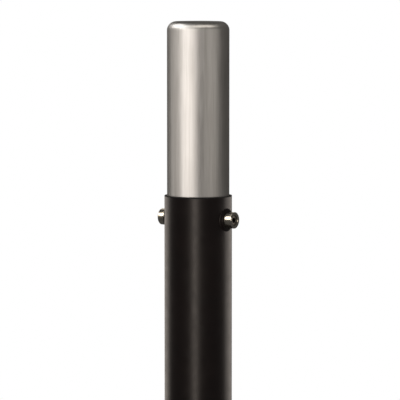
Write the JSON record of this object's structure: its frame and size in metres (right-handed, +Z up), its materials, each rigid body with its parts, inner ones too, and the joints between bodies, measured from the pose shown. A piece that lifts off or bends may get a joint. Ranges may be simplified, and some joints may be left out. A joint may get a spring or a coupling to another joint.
{
  "type": "retractable bollard",
  "caption": "Round steel post with a closed rounded head that telescopes out of a flanged dark sleeve, lifted by a gas strut inside and held by opposed set screws near the rim.",
  "frame": {"origin": "middle of the underside of the base plate, which is the lowest point of the object", "axes": "+Z up along the post; the two lock screws lie along X, the right one towards +X"},
  "size_m": [0.18, 0.18, 0.652],
  "materials": {
    "satin_stainless": "satin, fine lengthwise brushing",
    "coated_steel": "dark bronze-black satin powder coat",
    "coated_collar": "dark bronze-black satin powder coat",
    "turned_stainless": "fine turned",
    "acetal": "machined, matt",
    "wiper_rubber": "matt",
    "zinc_steel": "bright zinc plate",
    "spring_steel": "phosphated",
    "hard_chrome": "polished",
    "strut_paint": "black semi-gloss",
    "gland_plastic": "moulded",
    "brass": "machined",
    "socket_steel": "oiled, dark"
  },
  "bodies": {
    "sleeve": {"base_plate": "coated_steel", "outer_sleeve": "coated_steel", "lock_collar_right": "coated_collar", "lock_collar_left": "coated_collar", "lock_barrel_right": "turned_stainless", "lock_barrel_left": "turned_stainless", "guide_liner": "acetal", "wiper_seal": "wiper_rubber", "bump_stop": "wiper_rubber", "strut_base_bracket": "zinc_steel", "strut_base_screws": "zinc_steel", "strut_base_pin": "zinc_steel", "strut_base_clips": "spring_steel", "rod_eye": "zinc_steel", "strut_rod": "hard_chrome", "strut_piston": "brass"},
    "post": {"post_tube": "satin_stainless", "post_cap": "satin_stainless", "foot_collar": "zinc_steel", "foot_bush": "acetal", "foot_screws": "zinc_steel", "strut_head_bracket": "zinc_steel", "strut_head_pin": "zinc_steel", "strut_head_clips": "spring_steel", "cylinder_eye": "zinc_steel", "strut_cylinder": "strut_paint", "strut_gland": "gland_plastic"},
    "pad_right": {"clamp_pad_right": "brass"},
    "screw_right": {"lock_screw_right": "socket_steel"},
    "pad_left": {"clamp_pad_left": "brass"},
    "screw_left": {"lock_screw_left": "socket_steel"}
  },
  "joints": [
    {"name": "post_slide", "type": "slide", "parent": "sleeve", "child": "post", "axis": [0, 0, 1], "range_m": [-0.2, 0], "stiffness_N_per_m": 120, "springref_m": 0.667},
    {"name": "pad_right_slide", "type": "slide", "parent": "sleeve", "child": "pad_right", "axis": [1, 0, 0], "range_m": [0, 0.00525]},
    {"name": "screw_right_turn", "type": "hinge", "parent": "pad_right", "child": "screw_right", "pos_m": [0.046, 0, 0.4115], "axis": [1, 0, 0], "range_deg": [0, 1080]},
    {"name": "pad_left_slide", "type": "slide", "parent": "sleeve", "child": "pad_left", "axis": [-1, 0, 0], "range_m": [0, 0.00525]},
    {"name": "screw_left_turn", "type": "hinge", "parent": "pad_left", "child": "screw_left", "pos_m": [-0.046, 0, 0.4115], "axis": [-1, 0, 0], "range_deg": [0, 1080]}
  ],
  "couplings": [
    {"joint": "screw_right_turn", "follows": "pad_right_slide", "rad_per_m": 3590.4},
    {"joint": "screw_left_turn", "follows": "pad_left_slide", "rad_per_m": 3590.4}
  ]
}
